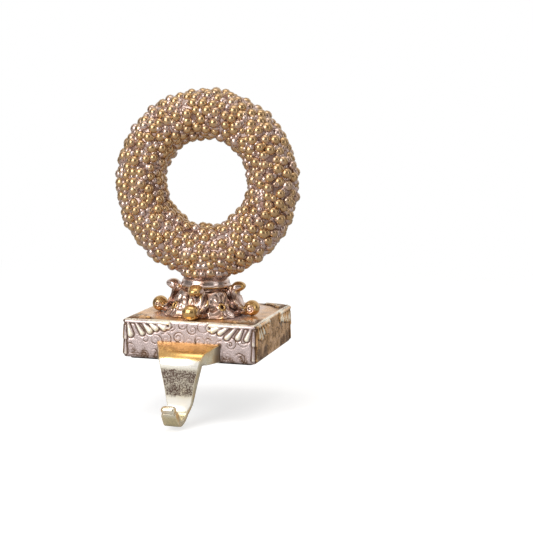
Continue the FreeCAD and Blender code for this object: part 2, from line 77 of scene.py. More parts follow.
# light, background and floor
studio = {
    "floorDrop": 0.0425,  # the floor lies just under the hook's lowest point
    "floorSize": 6.0,
    "floorColor": (0.55, 0.55, 0.55, 1),
    "floorLift": 0.62,  # near the object the camera sees the floor lifted, shadows kept
    "floorFade": (0.3, 0.9),  # further out it turns plain white
    "backLight": 0.95,
    "roomLight": 0.1,  # what the front of the room sends back
    "roomColor": (1.0, 0.97, 0.94, 1),
    "behind": (0.1, 0.9),  # how far back and how far up the bright part of the room begins and ends
    "above": (0.2, 0.9),
    "aboveShare": 0.7,
    "lamps": [
        # place, aim, width, height, watts
        ((-0.46, -0.96, 0.5), (0, 0, 0.06), 0.75, 0.85, 10.0),
        ((0.8, -0.35, 0.3), (0, 0, 0.08), 0.25, 0.6, 0.85),
        ((0.0, -0.15, 1.0), (0, 0, 0.1), 0.7, 0.4, 2.0),
    ],
}


def addLamp(index, place, aim, width, height, watts):
    data = bpy.data.lights.new(f"lamp{index}", "AREA")
    data.shape = "RECTANGLE"
    data.size = width
    data.size_y = height
    data.energy = watts
    lamp = newObject(f"lamp{index}", data)
    lamp.location = place
    lamp.rotation_euler = (Vector(aim) - Vector(place)).to_track_quat("-Z", "Y").to_euler()


def nodeTree(owner):
    owner.use_nodes = True
    owner.node_tree.nodes.clear()
    return owner.node_tree


def link(tree, source, target):
    tree.links.new(source, target)


def fill(tree, node, given):
    # given says what goes into the node's inputs: a socket is linked, a constant is set
    for name, value in given.items():
        if isinstance(value, bpy.types.NodeSocket):
            link(tree, value, node.inputs[name])
        else:
            node.inputs[name].default_value = value


def newNode(tree, kind, given=None):
    made = tree.nodes.new("ShaderNode" + kind)
    fill(tree, made, given or {})
    return made


def mathNode(tree, operation, *values, clamp=False):
    made = newNode(tree, "Math", dict(enumerate(values)))
    made.operation = operation
    made.use_clamp = clamp
    return made.outputs[0]


def spread(tree, value, low, high):
    # low..high becomes 0..1, clamped and eased
    made = newNode(tree, "MapRange", {"Value": value, "From Min": low, "From Max": high})
    made.interpolation_type = "SMOOTHSTEP"
    return made.outputs["Result"]


def mixColor(tree, share, first, second):
    made = newNode(tree, "Mix")
    made.data_type = "RGBA"
    fill(tree, made, {"Factor": share, "A": first, "B": second})
    return made.outputs["Result"]


def mixShader(tree, *values):
    return newNode(tree, "MixShader", dict(enumerate(values))).outputs[0]


def noiseOn(tree, vector, scale, detail, roughness):
    given = {"Scale": scale, "Detail": detail, "Roughness": roughness, "Vector": vector}
    return newNode(tree, "TexNoise", given).outputs["Fac"]


def directRays(tree):
    # the light path, and whether a ray comes from the camera, straight or through something clear
    rays = newNode(tree, "LightPath").outputs
    return rays, mathNode(tree, "MAXIMUM", rays["Is Camera Ray"], rays["Is Transmission Ray"])


def addWorld():
    world = bpy.data.worlds.new("studioWorld")
    scene.world = world
    tree = nodeTree(world)
    split = newNode(tree, "SeparateXYZ", {0: newNode(tree, "TexCoord").outputs["Generated"]})
    behind = spread(tree, split.outputs["Y"], *studio["behind"])
    above = spread(tree, split.outputs["Z"], *studio["above"])
    bright = mathNode(tree, "MAXIMUM", behind, mathNode(tree, "MULTIPLY", above, studio["aboveShare"]))
    swing = studio["backLight"] - studio["roomLight"]
    level = mathNode(tree, "MULTIPLY_ADD", bright, swing, studio["roomLight"])
    room = newNode(tree, "Background", {"Color": studio["roomColor"], "Strength": level})
    plain = newNode(tree, "Background", {"Color": (1, 1, 1, 1)})
    rays, seen = directRays(tree)
    shiny = mathNode(tree, "MULTIPLY", rays["Is Glossy Ray"], behind)
    both = mixShader(tree, mathNode(tree, "MAXIMUM", seen, shiny), room.outputs[0], plain.outputs[0])
    newNode(tree, "OutputWorld", {"Surface": both})


def addFloor():
    bm = bmesh.new()
    lift = Matrix.Translation((0, 0, -studio["floorDrop"]))
    bmesh.ops.create_grid(bm, x_segments=1, y_segments=1, size=studio["floorSize"], matrix=lift)
    mesh = bpy.data.meshes.new("floor")
    bm.to_mesh(mesh)
    bm.free()
    floor = newObject("floor", mesh)
    paint = bpy.data.materials.new("floorPaint")
    tree = nodeTree(paint)
    seen = directRays(tree)[1]
    matte = newNode(tree, "BsdfDiffuse", {"Color": studio["floorColor"]})
    glow = newNode(tree, "Emission", {"Strength": mathNode(tree, "MULTIPLY", seen, studio["floorLift"])})
    both = newNode(tree, "AddShader", {0: matte.outputs[0], 1: glow.outputs[0]})
    white = newNode(tree, "Emission")
    away = newNode(tree, "VectorMath", {0: newNode(tree, "TexCoord").outputs["Object"]})
    away.operation = "LENGTH"
    far = mathNode(tree, "MULTIPLY", spread(tree, away.outputs["Value"], *studio["floorFade"]), seen)
    newNode(tree, "OutputMaterial", {"Surface": mixShader(tree, far, both.outputs[0], white.outputs[0])})
    mesh.materials.append(paint)


addCamera()
addWorld()
addFloor()
for index, lamp in enumerate(studio["lamps"]):
    addLamp(index, *lamp)
scene.view_settings.view_transform = "Standard"
print("camera, light and floor ready")


# finishes: metallic paint with gold rubbed on what stands out and brown left in what lies deep; through the
# same inputs some pieces also get painted highlights and painted shade
rubbed = {
    "colors": {"Base": (0.5, 0.4, 0.4, 1), "High": (0.8, 0.6, 0.3, 1), "Deep": (0.1, 0.05, 0.03, 1)},
    "values": {"Rise": 0.0, "Groove": 0.0, "Patina": 0.0, "Grain": 900.0, "Mottle": 0.5, "Gloss": 0.25},
    "broad": (110.0, 3.0, 0.6),  # scale, detail and roughness of the two noises
    "fine": (900.0, 4.0, 0.7),
    "patches": 1.3,  # how far the broad noise moves the edge of the gold
    "goldEdge": (0.25, 0.75),
    "goldCover": 0.75,  # how much of the specks the gold covers
    "speckEdge": (0.54, 0.7),
    "cloudShares": (0.7, 0.3),  # of the fine and the broad noise
    "patinaShare": 0.5,
    "patinaEdge": (0.7, 0.94),
    "grooveEdge": (0.1, 0.9),
    "deepRoughness": 0.25,
    "fineRoughness": 0.1,
    "relief": 0.0003,
}


def makeRubbedPaint():
    group = bpy.data.node_groups.new("rubbedPaint", "ShaderNodeTree")
    for kind, given in (("NodeSocketColor", rubbed["colors"]), ("NodeSocketFloat", rubbed["values"])):
        for name, value in given.items():
            group.interface.new_socket(name, in_out="INPUT", socket_type=kind).default_value = value
    group.interface.new_socket("Color", in_out="OUTPUT", socket_type="NodeSocketColor")
    group.interface.new_socket("Roughness", in_out="OUTPUT", socket_type="NodeSocketFloat")
    group.interface.new_socket("Height", in_out="OUTPUT", socket_type="NodeSocketFloat")
    entry = group.nodes.new("NodeGroupInput")
    leave = group.nodes.new("NodeGroupOutput")
    place = newNode(group, "TexCoord").outputs["Object"]
    broad = noiseOn(group, place, *rubbed["broad"])
    fine = noiseOn(group, place, *rubbed["fine"])
    link(group, entry.outputs["Grain"], fine.node.inputs["Scale"])
    patch = mathNode(group, "MULTIPLY", mathNode(group, "SUBTRACT", broad, 0.5), rubbed["patches"])
    gold = spread(group, mathNode(group, "ADD", entry.outputs["Rise"], patch), *rubbed["goldEdge"])
    color = mixColor(group, gold, entry.outputs["Base"], entry.outputs["High"])
    bare = mathNode(group, "SUBTRACT", 1.0, mathNode(group, "MULTIPLY", gold, rubbed["goldCover"]))
    speck = mathNode(group, "MULTIPLY", spread(group, fine, *rubbed["speckEdge"]), entry.outputs["Mottle"])
    speck = mathNode(group, "MULTIPLY", speck, bare)
    fineShare, broadShare = rubbed["cloudShares"]
    cloud = mathNode(group, "MULTIPLY_ADD", fine, fineShare, mathNode(group, "MULTIPLY", broad, broadShare))
    patina = mathNode(group, "MULTIPLY", entry.outputs["Patina"], rubbed["patinaShare"])
    worn = spread(group, mathNode(group, "ADD", cloud, patina), *rubbed["patinaEdge"])
    deep = mathNode(group, "MAXIMUM", spread(group, entry.outputs["Groove"], *rubbed["grooveEdge"]), speck)
    deep = mathNode(group, "MAXIMUM", deep, worn)
    link(group, mixColor(group, deep, color, entry.outputs["Deep"]), leave.inputs["Color"])
    rough = mathNode(group, "MULTIPLY_ADD", deep, rubbed["deepRoughness"], entry.outputs["Gloss"])
    rough = mathNode(group, "MULTIPLY_ADD", fine, rubbed["fineRoughness"], rough)
    link(group, rough, leave.inputs["Roughness"])
    link(group, cloud, leave.inputs["Height"])
    return group


rubbedPaint = makeRubbedPaint()


def attributeOn(tree, name):
    made = newNode(tree, "Attribute")
    made.attribute_name = name
    return made.outputs["Fac"]


def endMaterial(tree, height, strength, given):
    # the shader with the paint's own fine relief, and the output
    relief = {"Strength": strength, "Distance": rubbed["relief"], "Height": height}
    normal = newNode(tree, "Bump", relief).outputs["Normal"]
    shader = newNode(tree, "BsdfPrincipled", {**given, "Normal": normal})
    newNode(tree, "OutputMaterial", {"Surface": shader.outputs[0]})


def paintedFinish(name, looks, extras=()):
    # looks: the piece's dictionary. extras: which of the attributes patina and matte the piece has
    paint = bpy.data.materials.new(name)
    tree = nodeTree(paint)
    given = {key.capitalize(): looks[key] for key in ("high", "deep", "grain", "mottle", "gloss")}
    given["Base"] = mixColor(tree, attributeOn(tree, "tint"), looks["base"], looks["tinted"])
    layers = newNode(tree, "Group")
    layers.node_tree = rubbedPaint
    for key in ("rise", "groove", "patina"):
        if key != "patina" or key in extras:
            given[key.capitalize()] = attributeOn(tree, key)
    fill(tree, layers, given)
    shine = looks["metallic"]
    if "matte" in extras:
        shine = mathNode(tree, "SUBTRACT", shine, attributeOn(tree, "matte"), clamp=True)
    made = layers.outputs
    endMaterial(tree, made["Height"], looks["bump"],
                {"Metallic": shine, "Base Color": made["Color"], "Roughness": made["Roughness"]})
    return paint


def plainFinish(name, looks):
    paint = bpy.data.materials.new(name)
    tree = nodeTree(paint)
    fine = noiseOn(tree, newNode(tree, "TexCoord").outputs["Object"], *looks["grain"])
    color = mixColor(tree, fine, looks["dark"], looks["color"])
    rough = mathNode(tree, "MULTIPLY_ADD", fine, looks["roughSwing"], looks["roughness"])
    endMaterial(tree, fine, looks["bump"],
                {"Metallic": looks["metallic"], "Base Color": color, "Roughness": rough})
    return paint


# helpers for the meshes

def newPiece(name, bm, paint, replaced):
    mesh = bpy.data.meshes.new(name)
    bm.to_mesh(mesh)
    bm.free()
    piece = newObject(name, mesh)
    mesh.materials.append(paint)
    mesh.polygons.foreach_set("use_smooth", [True] * len(mesh.polygons))
    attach(piece, "root")
    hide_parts(replaced)
    return piece


def meshVectors(mesh, name):
    values = np.empty(len(mesh.vertices) * 3)
    mesh.vertices.foreach_get(name, values)
    return values.reshape(-1, 3)


def setPoints(mesh, points):
    mesh.vertices.foreach_set("co", points.ravel())
    mesh.update()


def setAttribute(mesh, name, values):
    layer = mesh.attributes.get(name) or mesh.attributes.new(name, "FLOAT", "POINT")
    layer.data.foreach_set("value", np.clip(values, 0, 1).astype(np.float32))


def paintMesh(mesh, shares, masks):
    # each attribute is the sum of its masks, each by its share
    for name, row in shares.items():
        setAttribute(mesh, name, sum(share * masks[key] for key, share in row.items()))


def neighbourMean(mesh, points, passes):
    # each pass moves every point half way to the mean of its neighbours
    edges = np.empty(len(mesh.edges) * 2, dtype=np.int64)
    mesh.edges.foreach_get("vertices", edges)
    a, b = edges.reshape(-1, 2).T
    size = len(points)
    count = np.maximum(np.bincount(a, minlength=size) + np.bincount(b, minlength=size), 1)
    for _ in range(passes):
        columns = [
            np.bincount(a, points[b, k], size) + np.bincount(b, points[a, k], size)
            for k in range(points.shape[1])
        ]
        points = 0.5 * points + 0.5 * np.stack(columns, axis=1) / count[:, None]
    return points


def eased(low, high, value):
    t = np.clip((value - low) / (high - low), 0, 1)
    return t * t * (3 - 2 * t)


def partly(least, mask):
    # 1 where the mask is 1, and least where it is 0
    return least + (1 - least) * mask


# wreath
wreath = {
    "centre": (0.0, -10.2, 128.6),
    "ringRadius": 51.3,
    "swell": (1.02, 0.05),  # the tube is a little thicker below than above
    "coreRadius": 16.2,
    "coreSteps": (40, 140),  # round the tube and round the ring
    "coreBumps": (1.0, 260.0),  # height, and scale of the noise per metre
    "coreGrooves": (1.2, 90.0, 0.8),  # swing, scale and limit of the noise in the grooves
    "corePaint": (0.0, 0.35, 0.5, 0.3),  # rise, groove, tint and matte
    "rowsOutside": 8,
    "rowsInside": 7,
    "outerColumns": 46,
    "innerColumns": 32,
    "stray": 0.42,  # how far a berry strays from its place, in pitches
    # sizes, how far the tops stand from the tube's middle, shift in pitches round and across the tube,
    # and how far the gold reaches down the sides
    "berry": ((3.6, 4.6), (18.7, 21.0), (0.0, 0.0), (0.1, 0.6)),
    "bud": ((2.4, 3.2), (17.8, 19.2), (0.5, 0.5), (-0.4, 0.3)),
    "seed": ((2.0, 2.8), (17.5, 18.4), (0.5, 0.0), (-0.7, 0.0)),
    "giltFall": 0.55,
    "stubRadius": 16.5,
    "stubBerries": 17,
    "stubRows": 3,
    "stubRise": (0.95, 5.0),  # how high the first row lies, in radii, and from row to row
    "stubSunk": (-1.3, -0.5),
    "stubStray": 0.4,
    "stubGilt": (-0.3, 0.3),
    "stubPaint": (0.1, 0.3, 0.8, 0.0),
    "stubSegments": 48,
    "spigotOverlap": 1.0,
    "seedNumber": 11,
    "drumTop": 57.7,
    "spigotDepth": 9.0,
    "spigotRadius": 7.0,
    "high": (0.52, 0.335, 0.17, 1),
    "base": (0.47, 0.325, 0.26, 1),
    "tinted": (0.62, 0.49, 0.45, 1),
    "deep": (0.22, 0.12, 0.09, 1),
    "metallic": 0.86, "gloss": 0.17, "grain": 700.0, "mottle": 0.35, "bump": 0.3,
}


def swelling(around):
    return wreath["swell"][0] - wreath["swell"][1] * math.cos(around)


def ringPoint(around, across, tube):
    tube *= swelling(around)
    out = wreath["ringRadius"] + tube * math.cos(across)
    away = Vector((out * math.sin(around), -tube * math.sin(across), out * math.cos(around)))
    return (Vector(wreath["centre"]) + away) * mm


def berryRows():
    # rows round the tube: more berries in the outer rows than in the inner ones
    rowStep = math.tau / (wreath["rowsOutside"] + wreath["rowsInside"])
    rows = []
    for count, columns, first in (
        (wreath["rowsOutside"], wreath["outerColumns"], -0.5 * (wreath["rowsOutside"] - 1) * rowStep),
        (wreath["rowsInside"], wreath["innerColumns"], 0.5 * (wreath["rowsOutside"] + 1) * rowStep),
    ):
        step = math.tau / columns
        for row in range(count):
            arounds = [(column + 0.5 * (row % 2)) * step for column in range(columns)]
            rows.append((arounds, first + row * rowStep, step, rowStep))
    return rows


def newLevels(bm):
    return [bm.verts.layers.float.new(name) for name in ("rise", "groove", "tint", "matte")]


def between(chance, pair):
    return pair[0] + (pair[1] - pair[0]) * chance.random()


def addBall(bm, centre, radius, outward, gilt, tint, levels):
    # gilt says how far the gold reaches down the ball's sides
    place = Matrix.Translation(centre)
    made = bmesh.ops.create_icosphere(bm, subdivisions=2, radius=radius * mm, matrix=place)
    rise, _, tintLayer, _ = levels
    for v in made["verts"]:
        facing = (v.co - centre).normalized().dot(outward)
        v[rise] = min(1.0, max(0.0, gilt + wreath["giltFall"] * facing))
        v[tintLayer] = tint


def addRow(target, row, chance):
    # one row is made by itself and then added, which keeps each operator's work small
    arounds, across, step, rowStep = row
    bm = bmesh.new()
    levels = newLevels(bm)
    for around in arounds:
        for kind in ("berry", "bud", "seed"):
            sizes, crowns, shift, gilts = wreath[kind]
            u = around + step * (shift[0] + wreath["stray"] * (chance.random() - 0.5))
            v = across + rowStep * (shift[1] + wreath["stray"] * (chance.random() - 0.5))
            radius, crown = between(chance, sizes), between(chance, crowns)
            outward = (ringPoint(u, v, 1.0) - ringPoint(u, v, 0.0)).normalized()
            centre = ringPoint(u, v, crown - radius)
            addBall(bm, centre, radius, outward, between(chance, gilts), chance.random(), levels)
    addTo(target, bm)


def addTo(target, bm):
    holder = bpy.data.meshes.new("holder")
    bm.to_mesh(holder)
    bm.free()
    target.from_mesh(holder)
    bpy.data.meshes.remove(holder)


def addCore(target):
    # the bumpy ring that the berries grow from
    bm = bmesh.new()
    levels = newLevels(bm)
    middle = Vector(wreath["centre"]) * mm
    side = middle + Vector((wreath["ringRadius"] * mm, 0, 0))
    tubeSteps, ringSteps = wreath["coreSteps"]
    start = bmesh.ops.create_circle(bm, segments=tubeSteps, radius=wreath["coreRadius"] * mm,
                                    matrix=Matrix.Translation(side))
    edges = list(dict.fromkeys(edge for vert in start["verts"] for edge in vert.link_edges))
    bmesh.ops.spin(bm, geom=start["verts"] + edges, cent=middle, axis=(0, 1, 0), angle=math.tau,
                   steps=ringSteps, use_merge=True, use_normal_flip=False)
    bmesh.ops.recalc_face_normals(bm, faces=bm.faces[:])
    bm.normal_update()
    bumpHeight, bumpScale = wreath["coreBumps"]
    swing, scale, limit = wreath["coreGrooves"]
    rise, groove, tint, matte = wreath["corePaint"]
    for v in bm.verts:
        around = math.atan2(v.co.x - middle.x, v.co.z - middle.z)
        tubeMiddle = middle + Vector((math.sin(around), 0, math.cos(around))) * (wreath["ringRadius"] * mm)
        v.co = tubeMiddle + (v.co - tubeMiddle) * swelling(around)
        v.co += v.normal * (bumpHeight * mm * noise.noise(v.co * bumpScale))
        worn = min(limit, max(0.0, groove + swing * noise.noise(v.co * scale)))
        for level, value in zip(levels, (rise, worn, tint, matte)):
            v[level] = value
    addTo(target, bm)


def addStub(target, chance):
    bm = bmesh.new()
    levels = newLevels(bm)
    middle = Vector(wreath["centre"])
    drumTop, stubRadius = wreath["drumTop"], wreath["stubRadius"]
    for radius, bottom, top in (
        (stubRadius, drumTop, middle.z - wreath["ringRadius"]),
        (wreath["spigotRadius"], drumTop - wreath["spigotDepth"], drumTop + wreath["spigotOverlap"]),
    ):
        bmesh.ops.create_cone(bm, cap_ends=True, segments=wreath["stubSegments"], radius1=radius * mm,
                              radius2=radius * mm, depth=(top - bottom) * mm,
                              matrix=Matrix.Translation((0, middle.y * mm, (top + bottom) / 2 * mm)))
    for v in bm.verts:
        for level, value in zip(levels, wreath["stubPaint"]):
            v[level] = value
    sizes = wreath["berry"][0]
    firstRise, rowRise = wreath["stubRise"]
    for row in range(wreath["stubRows"]):
        for k in range(wreath["stubBerries"]):
            stray = wreath["stubStray"] * chance.random()
            angle = math.tau * (k + 0.5 * (row % 2) + stray) / wreath["stubBerries"]
            radius = between(chance, sizes)
            outward = Vector((math.cos(angle), math.sin(angle), 0))
            height = drumTop + radius * firstRise + rowRise * row + chance.random()
            reach = stubRadius + between(chance, wreath["stubSunk"])
            centre = Vector((0, middle.y, height)) + outward * reach
            gilt = between(chance, wreath["stubGilt"])
            addBall(bm, centre * mm, radius, outward, gilt, chance.random(), levels)
    addTo(target, bm)


def makeWreath():
    chance = random.Random(wreath["seedNumber"])
    bm = bmesh.new()
    newLevels(bm)
    addCore(bm)
    for row in berryRows():
        addRow(bm, row, chance)
    addStub(bm, chance)
    paint = paintedFinish("wreathFinish", wreath, ("matte",))
    newPiece("berryWreath", bm, paint, "wreath")


makeWreath()
print("wreath ready")


# plinth
plinth = {
    "width": 102.0,
    "depth": 102.0,
    "height": 28.9,
    "bottom": 1.2,
    "edge": 2.0,
    "edgeSteps": 4,
    "cutsAlong": 200,
    "cutsUp": 56,
    "sink": 0.7,  # how deep the leaf fingers lie in the faces
    "ditch": (1.7, 0.3),  # how far from a finger its ditch ends, and where it is deepest
    "fingerLength": 13.0,
    "fingerRoot": 1.3,
    "fingerTip": 2.3,
    "fingerPitch": 5.3,
    "fingerDroops": (70, 60, 50, 42, 32),
    "fingerFall": 0.05,  # how much shorter each finger is than the second one
    "fingerSeed": 100,
    # ranges of the fingers' length, place, droop and tip
    "lengthStray": (0.82, 1.12),
    "placeStray": (0.3, 0.5),
    "droopStray": (-7, 7),
    "tipStray": (0.85, 1.08),
    "cornerLength": 13.0,
    "cornerStep": 2,
    "cornerShares": (0.8, 0.7),  # of the fingers' root and tip
    "bandLength": 33.0,
    "bandTip": 1.7,
    "curl": (1.9, 0.9),
    "curlDitch": 0.9,
    "scrolls": 33,
    "scrollMargin": 6,
    "scrollRows": 3,
    "scrollPlaces": (0.3, 0.7),
    "scrollRadii": (3.4, 6.2),
    "scrollTurns": (1.0, 2.2),
    "scrollGrowths": (0.12, 0.2),
    "lineEdge": (0.6, 0.15),
    # angle and share of the length of the fingers on the top
    "topFan": ((10, 1.3), (32, 1.0), (58, 1.0), (80, 1.3)),
    "topLength": 12.5,
    "lineDepth": 0.22,
    "trenchDepth": 0.45,
    "stippleDepth": 0.25,
    "spots": ((1.1, 0.0), (0.16, 30.0)),  # scale per millimetre and shift of the fine and broad noise
    # high: cream on the crests and the top edge, partly a painted highlight
    "high": (1.0, 0.92, 0.74, 1),
    "base": (0.67, 0.545, 0.525, 1),
    "tinted": (0.84, 0.46, 0.15, 1),
    "deep": (0.13, 0.065, 0.03, 1),
    "metallic": 0.65, "gloss": 0.22, "grain": 1100.0, "mottle": 0.55, "bump": 0.6,
}
# where the masks of the plinth's carving and paint begin and end, and how much each of them adds
carved = {
    "flat": 3,
    "foot": (0.55, 0.1),
    "patches": (-0.35, 0.3),
    "cornerUp": (13.0, 3.0),
    "cornerAlong": (14.0, 24.0),
    "stipple": (0.05, 0.3),
    "stippleFlat": 0.25,
    "stippleSmooth": 0.4,
    # the fingers' crests get cream gold, partly rubbed gold and partly a painted highlight
    "crestHighlight": (0.3, 1.2),
    "groove": (0.9, 0.8, 0.5, 0.6),  # lines, ditches, stipple and the fingers' feet; the dark in the ditches and on the feet is painted shade
    "patina": (0.2, 0.25, 0.3),  # all over, in patches and at the lower corners
    "topRim": (3.2, 1.4),
    "topCorner": (66, 84),
    "topStipple": (0.0, 0.3),
    "topCrest": (0.3, 1.1),
    "topGilt": (0.6, 0.8),
    # the top's trench and feet darken as painted shade; its stipple is cut
    "topGroove": (0.9, 0.6, 0.75),
    "topPatina": 0.6,
}
gilded = {
    # gold along the top edge, partly a painted highlight
    "edgeStart": (0.25, 0.6),
    "edgeEnd": (0.97, 0.8),
    "post": (0.3, 0.6),
    "raised": (0.85, 0.15),
    "edge": 0.85,
    "postGold": 0.4,
    "sideways": (0.4, 0.9),
    "flat": (0.9, 0.99),
    # the top's outer rim turns ochre, partly its own colour and partly a painted reflection of the pedestal
    "shore": (27.0, 41.0),
    "clouds": (0.5, 1.6),
    "sideOchre": 0.8,
    "shoreOchre": 0.75,
    "sideRise": (0.45, 0.3),
    "sideGroove": 0.3,
    "patina": (0.2, 0.5, 0.7, 0.8),  # sideways, shore, cleaned where raised, and the limit
    # matte on the crests keeps their painted highlight white
    "matte": 0.35,
}


def finger(u, v, root, tip, rootRadius, tipRadius):
    # a drop-shaped leaf finger from root to tip, as height over the face and the ditch round it
    a, b = np.array(root), np.array(tip)
    along = b - a
    length = np.linalg.norm(along)
    t = np.clip(((u - a[0]) * along[0] + (v - a[1]) * along[1]) / length ** 2, 0, 1)
    distance = np.hypot(u - a[0] - t * along[0], v - a[1] - t * along[1])
    radius = rootRadius + (tipRadius - rootRadius) * t
    dome = np.sqrt(np.clip(radius ** 2 - distance ** 2, 0, None)) - plinth["sink"]
    edge = np.sqrt(radius ** 2 - plinth["sink"] ** 2)
    ditchEnd, ditchDeep = plinth["ditch"]
    ditch = eased(edge + ditchEnd, edge + ditchDeep, distance) * (dome <= 0)
    return np.clip(dome, 0, None), ditch


def ringCurl(u, v, centre, radius, wire):
    distance = np.abs(np.hypot(u - centre[0], v - centre[1]) - radius)
    dome = np.sqrt(np.clip(wire ** 2 - distance ** 2, 0, None))
    return dome, eased(wire + plinth["curlDitch"], wire, distance) * (dome <= 0)


def engraved(u, v, centre, radius, start, turns, growth):
    # a spiral line cut into the face, by its distance from the nearest turn
    angle = np.arctan2(v - centre[1], u - centre[0])
    distance = np.hypot(u - centre[0], v - centre[1])
    best = np.full_like(distance, np.inf)
    for turn in range(-1, int(abs(turns)) + 2):
        swept = (angle - start) * math.copysign(1, turns) + math.tau * turn
        inside = (swept >= 0) & (swept <= abs(turns) * math.tau)
        line = radius * np.exp(-growth * swept)
        best = np.where(inside, np.minimum(best, np.abs(distance - line)), best)
    return eased(*plinth["lineEdge"], best)


def sideScrolls(seed):
    # centre, radius, start, turns and growth of the scrolls cut into one side face
    chance = random.Random(seed)
    scrolls = []
    reach = plinth["width"] / 2 - plinth["scrollMargin"]
    rows = plinth["scrollRows"]
    for k in range(plinth["scrolls"]):
        u = -reach + 2 * reach * (k + chance.random()) / plinth["scrolls"]
        v = plinth["height"] * (k % rows + between(chance, plinth["scrollPlaces"])) / rows
        radius = between(chance, plinth["scrollRadii"])
        turns = between(chance, plinth["scrollTurns"]) * (1 if k % 2 else -1)
        start = math.tau * chance.random()
        scrolls.append(((u, v), radius, start, turns, between(chance, plinth["scrollGrowths"])))
    return scrolls


def roughSpots(points, scale, shift):
    return np.array([noise.noise(Vector((x * scale + shift, y * scale, z * scale))) for x, y, z in points])


def gathered(shapes):
    # the highest dome and the deepest ditch of all the shapes, at each point
    domes, ditches = zip(*shapes)
    return np.maximum.reduce(domes), np.maximum.reduce(ditches)


def sideFingers(seed, half, top):
    # the ends and radii of the leaf fingers that hang from the top band and clasp the corners
    root, tip, pitch = plinth["fingerRoot"], plinth["fingerTip"], plinth["fingerPitch"]
    rootShare, tipShare = plinth["cornerShares"]
    chance = random.Random(plinth["fingerSeed"] + seed)
    shapes = []
    for side in (-1, 1):
        band = side * (half - plinth["bandLength"])
        shapes.append(((side * half, top), (band, top), root, plinth["bandTip"]))
        for k, droop in enumerate(plinth["fingerDroops"]):
            length = plinth["fingerLength"] * (1 - plinth["fingerFall"] * abs(k - 1))
            length = length * between(chance, plinth["lengthStray"]) - root - tip
            near = side * (half - pitch * (k + between(chance, plinth["placeStray"])))
            lean = math.radians(droop + between(chance, plinth["droopStray"]))
            start = (near - side * root * math.cos(lean), top - root * math.sin(lean))
            end = (start[0] - side * length * math.cos(lean), start[1] - length * math.sin(lean))
            shapes.append((start, end, root, tip * between(chance, plinth["tipStray"])))
        for k in range(2):
            high = top - plinth["cornerStep"] - k * (plinth["cornerLength"] - plinth["cornerStep"])
            low = high - plinth["cornerLength"] + tip
            ends = (side * half, high - root), (side * half, low)
            shapes.append((*ends, rootShare * root, tipShare * tip))
    return shapes


def sideRelief(u, v, seed, spots):
    # height, gilding, groove and patina maps of one side face: u from its middle, v from its foot, in mm
    half, top = plinth["width"] / 2 - plinth["edge"], plinth["height"] - plinth["edge"]
    ring = plinth["curl"][0]
    curls = [(side * (half - plinth["bandLength"]), top - ring) for side in (-1, 1)]
    shapes = [finger(u, v, *shape) for shape in sideFingers(seed, half, top)]
    raised, trench = gathered(shapes + [ringCurl(u, v, curl, *plinth["curl"]) for curl in curls])
    lines = np.maximum.reduce([engraved(u, v, *scroll) for scroll in sideScrolls(seed)])
    free = 1 - np.clip(raised * carved["flat"], 0, 1)
    patchy = eased(*carved["patches"], spots[1])
    corner = eased(*carved["cornerUp"], v) * eased(*carved["cornerAlong"], np.abs(u))
    stipple = partly(carved["stippleFlat"], corner) * partly(carved["stippleSmooth"], patchy)
    stipple *= eased(*carved["stipple"], spots[0])
    cuts = np.maximum(lines * partly(0.5, patchy), 0.5 * stipple)
    height = raised - free * np.maximum(plinth["lineDepth"] * cuts, plinth["trenchDepth"] * trench)
    foot = eased(*carved["foot"], raised) * (raised > 0)
    ofCuts, ofTrench, ofStipple, ofFoot = carved["groove"]
    # the fingers' ditches and feet are painted shade; the lines and stipple are cut
    groove = (np.maximum(ofCuts * cuts, ofTrench * trench) + ofStipple * stipple) * free + ofFoot * foot
    base, ofPatches, ofCorner = carved["patina"]
    patina = base + ofPatches * patchy + ofCorner * corner
    return height, eased(*carved["crestHighlight"], raised), np.clip(groove, 0, 1), patina


def topRelief(x, y, spots):
    # fans of leaf fingers that lie on the top from each corner, and the rubbed gold edge, which is partly a
    # painted highlight
    inset = plinth["width"] / 2 - 2 * plinth["edge"]
    root, tip = plinth["fingerRoot"], plinth["fingerTip"]
    shapes = []
    for sideX in (-1, 1):
        for sideY in (-1, 1):
            for turn, share in plinth["topFan"]:
                angle = math.radians(turn)
                ends = [
                    (sideX * (inset - far * math.cos(angle)), sideY * (inset - far * math.sin(angle)))
                    for far in (root, plinth["topLength"] * share - tip)
                ]
                shapes.append(finger(x, y, *ends, root, tip))
    raised, trench = gathered(shapes)
    free = 1 - np.clip(raised * carved["flat"], 0, 1)
    edge = plinth["width"] / 2
    rimStart, rimEnd = carved["topRim"]
    rim = eased(edge - rimStart, edge - rimEnd, np.maximum(np.abs(x), np.abs(y)))
    corner = eased(*carved["topCorner"], np.abs(x) + np.abs(y))
    stipple = eased(*carved["topStipple"], spots[0]) * corner * free
    height = raised - plinth["trenchDepth"] * trench * free - plinth["stippleDepth"] * stipple
    foot = eased(*carved["foot"], raised) * (raised > 0)
    ofTrench, ofStipple, ofFoot = carved["topGroove"]
    # painted shade in the trench and on the fingers' feet
    groove = np.clip(ofTrench * trench * free + ofStipple * stipple + ofFoot * foot, 0, 1)
    ofCrest, ofRim = carved["topGilt"]
    gilt = np.maximum(ofCrest * eased(*carved["topCrest"], raised), ofRim * rim)
    return height, gilt, groove, carved["topPatina"] * corner


